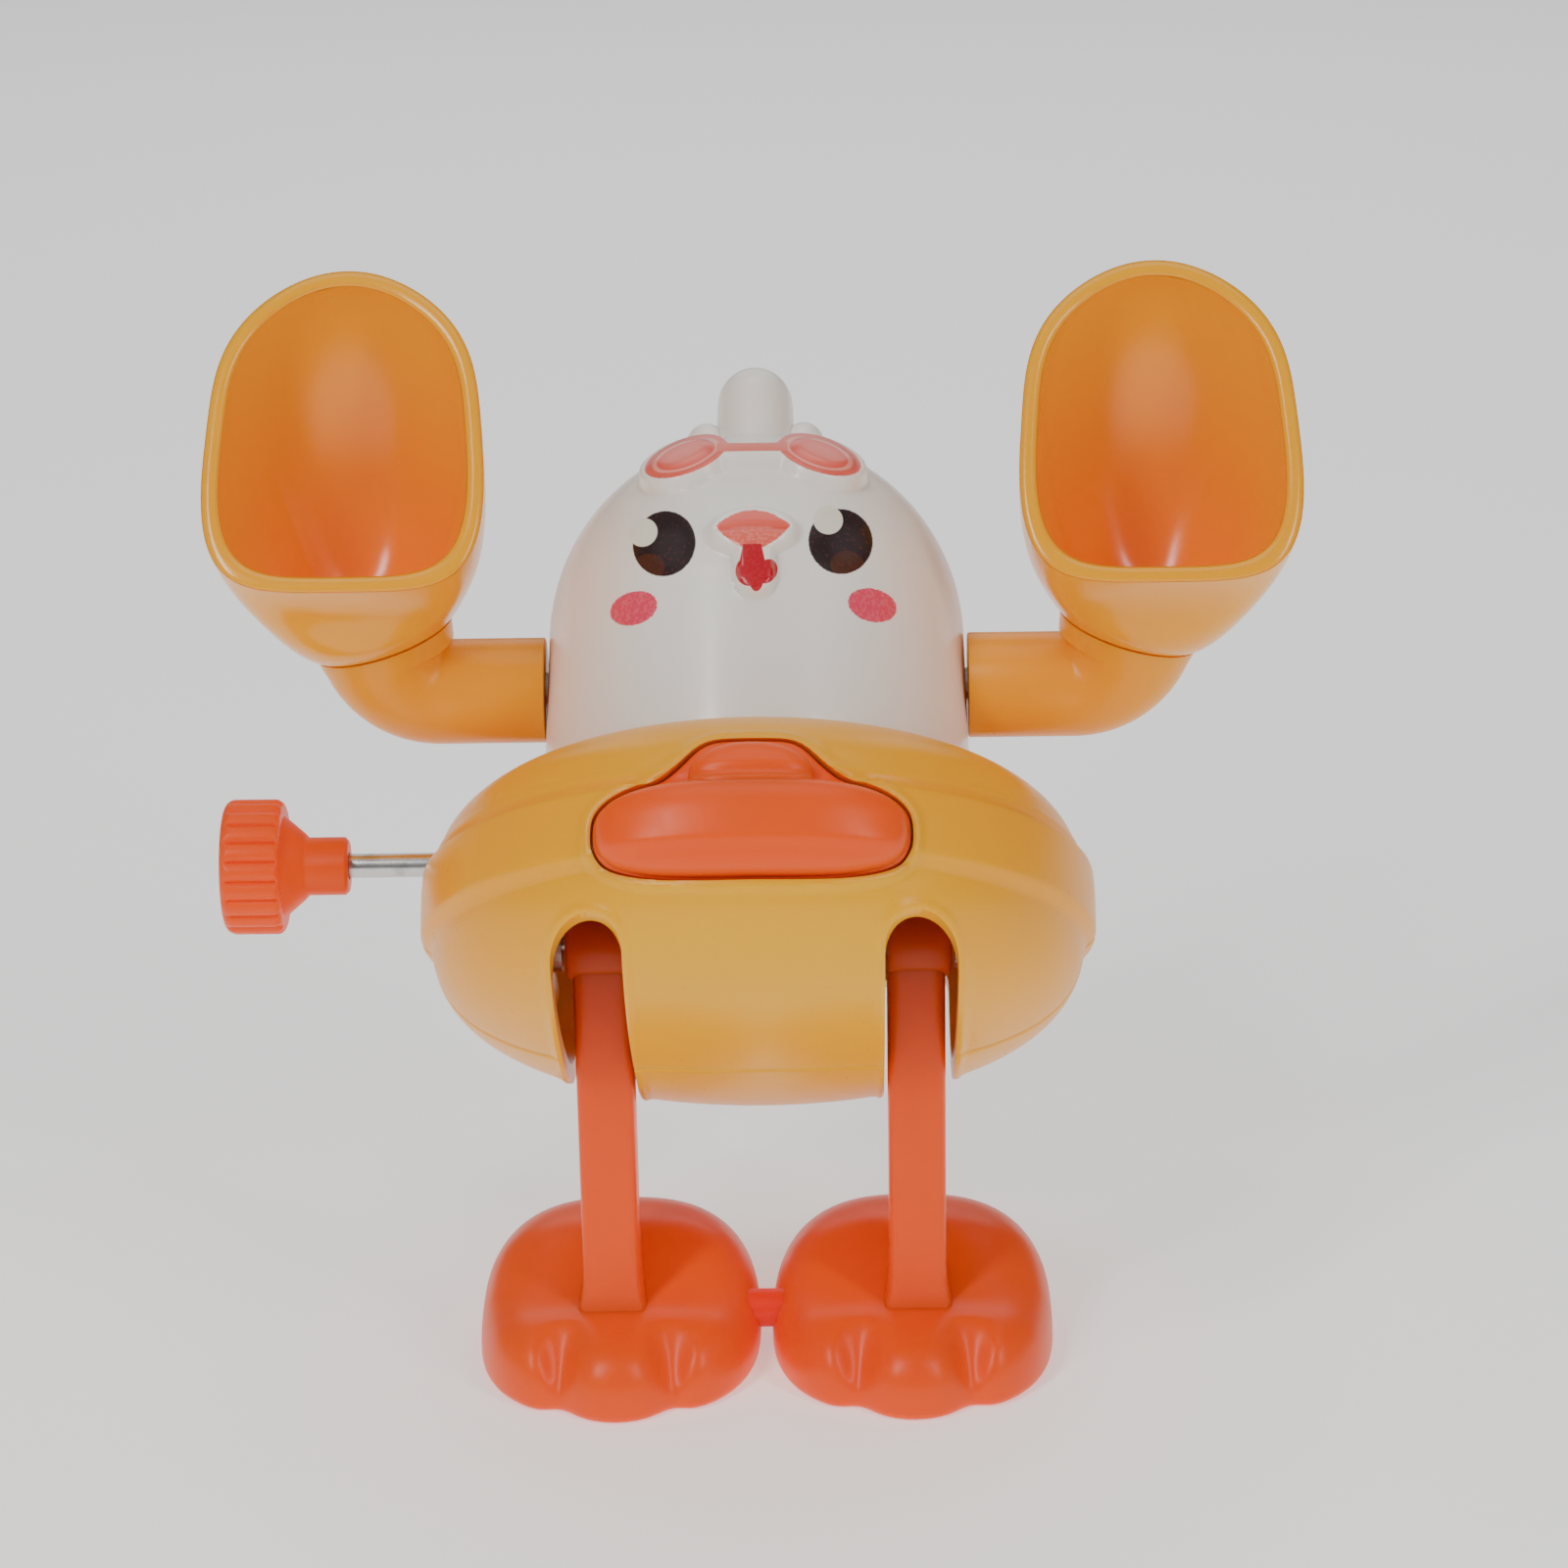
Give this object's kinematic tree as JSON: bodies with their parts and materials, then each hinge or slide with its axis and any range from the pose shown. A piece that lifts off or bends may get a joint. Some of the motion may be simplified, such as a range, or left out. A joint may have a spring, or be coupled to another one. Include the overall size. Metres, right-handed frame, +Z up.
{
  "type": "wind-up hopping toy",
  "caption": "Wind-up hopping chick in a duck swim ring, with turning cup arms, swinging tied feet, a winding knob and a clockwork motor inside.",
  "frame": {"origin": "middle of the footprint box, on the ground under the soles", "axes": "+Z up, face towards -Y, +X to the viewer's right when the face looks at the viewer; the winding knob is on -X"},
  "size_m": [0.089, 0.057, 0.0909],
  "materials": {
    "yellow": "satin gloss moulded plastic, golden yellow",
    "pearl": "pearl white moulded plastic with a painted face",
    "orange": "satin gloss moulded plastic, orange",
    "amber": "satin gloss moulded plastic, amber, slightly translucent",
    "red": "moulded plastic, red orange",
    "nylon": "natural white moulded nylon",
    "steel": "plain drawn steel",
    "spring": "blued spring steel"
  },
  "bodies": {
    "body_shell": {"ring_front_shell": "yellow", "ring_back_shell": "yellow", "duck_bill": "orange", "head_front_shell": "pearl", "head_back_shell": "pearl", "ring_screw_left": "steel", "ring_screw_right": "steel", "head_screw_left": "steel", "head_screw_right": "steel", "hip_screw_left": "steel", "hip_screw_right": "steel", "motor_plate_left": "nylon", "motor_plate_right": "nylon", "motor_pillar_1": "nylon", "motor_pillar_2": "nylon", "motor_pillar_3": "nylon", "motor_pillar_4": "nylon", "mainspring": "spring"},
    "legs": {"leg_left": "orange", "leg_right": "orange", "foot_link_pin": "red"},
    "arms": {"arm_left": "yellow", "arm_right": "yellow", "cup_left": "amber", "cup_right": "amber", "shoulder_axle": "steel"},
    "winding": {"winding_knob": "orange", "winding_shaft": "steel", "main_wheel": "nylon"},
    "second": {"second_gear": "nylon", "second_arbor": "steel"},
    "crank": {"crank_gear": "nylon", "crank_axle": "steel", "crank_left": "nylon", "crank_right": "nylon"},
    "escape": {"escape_gear": "nylon", "escape_arbor": "steel"},
    "pallet": {"pallet": "nylon", "pallet_arbor": "steel"}
  },
  "joints": [
    {"name": "leg_swing", "type": "hinge", "parent": "body_shell", "child": "legs", "pos_m": [0, -0.00529, 0.0392], "axis": [-1, 0, 0], "range_deg": [0, 70]},
    {"name": "arm_turn", "type": "hinge", "parent": "body_shell", "child": "arms", "pos_m": [0, 0.00892, 0.05613], "axis": [1, 0, 0], "range_deg": [-160, 60]},
    {"name": "winding_turn", "type": "hinge", "parent": "body_shell", "child": "winding", "pos_m": [0, -0.00084, 0.0445], "axis": [1, 0, 0], "continuous": true},
    {"name": "second_spin", "type": "hinge", "parent": "body_shell", "child": "second", "pos_m": [0, 0.00729, 0.04202], "axis": [1, 0, 0], "continuous": true},
    {"name": "crank_spin", "type": "hinge", "parent": "body_shell", "child": "crank", "pos_m": [0, 0.00105, 0.03624], "axis": [1, 0, 0], "continuous": true},
    {"name": "escape_spin", "type": "hinge", "parent": "body_shell", "child": "escape", "pos_m": [0, 0.00443, 0.029], "axis": [1, 0, 0], "continuous": true},
    {"name": "pallet_rock", "type": "hinge", "parent": "body_shell", "child": "pallet", "pos_m": [0, 0.01028, 0.03084], "axis": [1, 0, 0], "range_deg": [-6, 6]}
  ],
  "couplings": [
    {"joint": "second_spin", "follows": "winding_turn", "ratio": -3.25},
    {"joint": "crank_spin", "follows": "winding_turn", "ratio": 10.562},
    {"joint": "escape_spin", "follows": "winding_turn", "ratio": -31.688}
  ]
}
